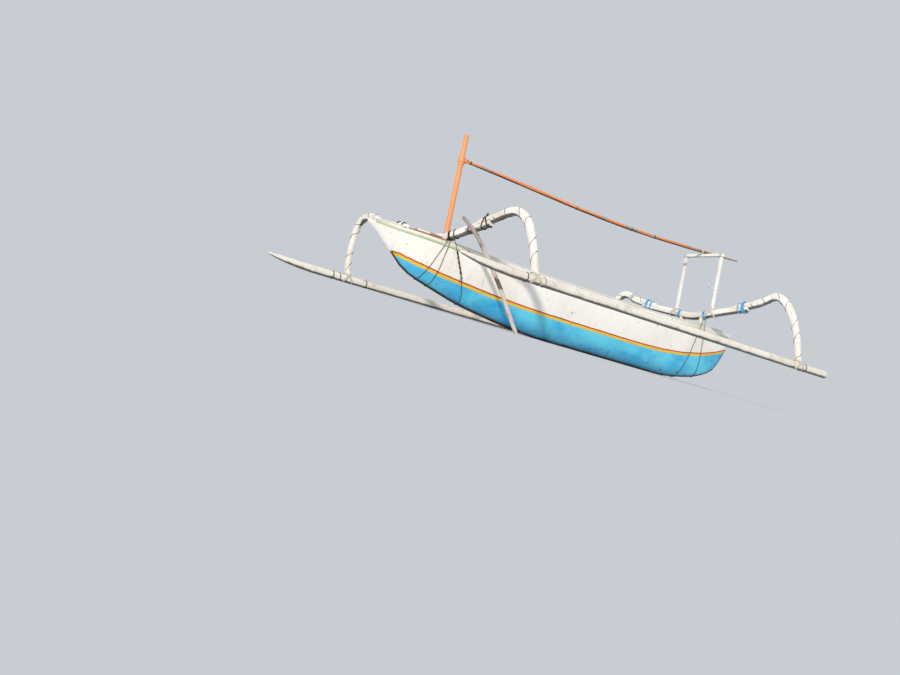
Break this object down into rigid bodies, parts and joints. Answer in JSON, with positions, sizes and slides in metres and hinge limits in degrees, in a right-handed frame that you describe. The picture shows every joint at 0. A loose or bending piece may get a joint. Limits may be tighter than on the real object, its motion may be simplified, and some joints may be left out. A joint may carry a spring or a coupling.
{
  "type": "outrigger canoe",
  "caption": "Double-outrigger fishing canoe with a hollow painted hull, curved cross booms, two long floats, a short mast and a stowed spar, leaning on one float as it is parked on a beach.",
  "frame": {"origin": "on the centreline, on the underside of the keel shoe, about the middle of the hull's length; the canoe leans 8.25 degrees to starboard about X through it, onto the shoe's starboard edge and the starboard float", "axes": "+X to the bow, +Y level to port, +Z plumb up"},
  "size_m": [6.555, 4.1526, 2.1723],
  "materials": {
    "hull_paint": "brushed white and blue oil paint over wood, worn and stained",
    "white_paint": "chalky white oil paint over timber",
    "green_paint": "faded pale green paint",
    "rail_wood": "bare worn hardwood with paint left on its sides",
    "board_wood": "bare weathered boards",
    "shoe_wood": "tarred hardwood strip",
    "float_paint": "cream paint over a float, marked and scuffed",
    "orange_paint": "orange paint, worn through on the spar",
    "pin_wood": "dark hardwood pin",
    "grey_wood": "sun-bleached branch"
  },
  "bodies": {
    "hull": {"hull_shell": "hull_paint", "keel_shoe": "shoe_wood", "bow_deck": "white_paint", "stern_deck": "white_paint", "hatch_board": "board_wood", "aft_thwart": "board_wood", "middle_thwart": "board_wood", "fore_thwart": "board_wood", "front_beam": "white_paint", "rear_beam": "white_paint", "mast_step": "board_wood", "mast_partner": "board_wood", "gallows_crossbar": "white_paint", "gallows_hook": "white_paint", "prop_pole": "grey_wood", "wash_strake_port": "white_paint", "rub_strake_port": "green_paint", "gunwale_cap_port": "rail_wood", "rear_chock_port": "white_paint", "float_port": "float_paint", "front_knee_port": "white_paint", "rear_knee_port": "white_paint", "gallows_post_port": "white_paint", "wash_strake_starboard": "white_paint", "rub_strake_starboard": "green_paint", "gunwale_cap_starboard": "rail_wood", "rear_chock_starboard": "white_paint", "float_starboard": "float_paint", "front_knee_starboard": "white_paint", "rear_knee_starboard": "white_paint", "gallows_post_starboard": "white_paint"},
    "mast": {"mast": "orange_paint"},
    "collar": {"spar_collar": "orange_paint", "spar_pin": "pin_wood"},
    "spar": {"spar": "orange_paint"}
  },
  "joints": [
    {"name": "mast_lift", "type": "slide", "parent": "hull", "child": "mast", "axis": [0, -0.1434, 0.9897], "range_m": [0, 0.42]},
    {"name": "spar_swing", "type": "hinge", "parent": "mast", "child": "collar", "pos_m": [2.046, -0.26766, 1.8467], "axis": [0, -0.1434, 0.9897], "range_deg": [-85, 85]},
    {"name": "spar_peak", "type": "hinge", "parent": "collar", "child": "spar", "pos_m": [1.97, -0.26766, 1.8467], "axis": [0, 0.9897, 0.1434], "range_deg": [0, 60]}
  ]
}
